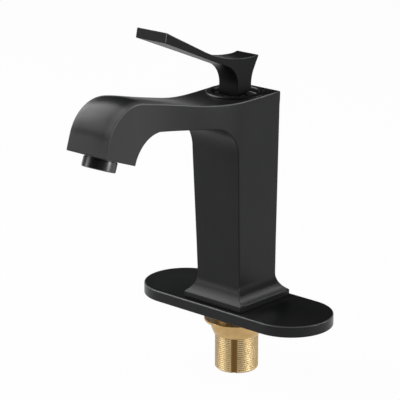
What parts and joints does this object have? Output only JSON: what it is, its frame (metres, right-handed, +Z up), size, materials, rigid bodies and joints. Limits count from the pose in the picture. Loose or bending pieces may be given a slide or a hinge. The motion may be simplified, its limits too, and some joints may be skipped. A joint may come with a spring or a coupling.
{
  "type": "bathroom mixer faucet",
  "caption": "Single-lever basin mixer with a square tapered column, rising waisted spout, stadium deck plate, ceramic-disc cartridge and a threaded brass mounting shank.",
  "frame": {"origin": "on the shank's axis at the deck surface, which is the underside of the deck plate", "axes": "+Z up, -Y towards the spout's tip, X along the deck plate"},
  "size_m": [0.162, 0.1813, 0.2637],
  "materials": {
    "satin_black": "satin black powder coat over metal",
    "black_rubber": "matte black rubber",
    "brass": "turned natural brass",
    "grey_plastic": "moulded grey acetal",
    "black_plastic": "moulded black plastic",
    "white_ceramic": "lapped white alumina ceramic",
    "steel": "brushed stainless steel"
  },
  "bodies": {
    "root": {"deck_plate": "satin_black", "under_plate": "grey_plastic", "deck_gasket": "black_rubber", "base_seal": "black_rubber", "faucet_body": "satin_black", "mounting_shank": "brass", "hot_inlet_socket": "brass", "cold_inlet_socket": "brass", "cartridge_base": "grey_plastic", "cartridge_seals": "black_rubber", "fixed_disc": "white_ceramic", "cartridge_housing": "grey_plastic", "housing_o_ring": "black_rubber", "cartridge_nut": "brass", "trim_ring": "satin_black", "aerator_housing": "satin_black", "aerator_insert": "black_plastic", "aerator_washer": "black_rubber"},
    "nut": {"mounting_nut": "brass"},
    "swivel": {"swivel": "grey_plastic", "pivot_pin": "steel"},
    "lever": {"stem": "steel", "lever_handle": "satin_black", "set_screw": "steel", "screw_plug": "black_plastic"},
    "disc": {"moving_disc": "white_ceramic", "disc_carrier": "grey_plastic"}
  },
  "joints": [
    {"name": "handle_turn", "type": "hinge", "parent": "root", "child": "swivel", "pos_m": [0, -0.0032, 0.146], "axis": [0, 0, 1], "range_deg": [-45, 45]},
    {"name": "handle_lift", "type": "hinge", "parent": "swivel", "child": "lever", "pos_m": [0, -0.0032, 0.146], "axis": [-1, 0, 0], "range_deg": [0, 22]},
    {"name": "disc_slide", "type": "slide", "parent": "swivel", "child": "disc", "axis": [0, -1, 0], "range_m": [0, 0.0039]},
    {"name": "nut_travel", "type": "slide", "parent": "root", "child": "nut", "axis": [0, 0, -1], "range_m": [0, 0.018]}
  ],
  "couplings": [
    {"joint": "disc_slide", "follows": "handle_lift", "m_per_rad": 0.0098}
  ]
}
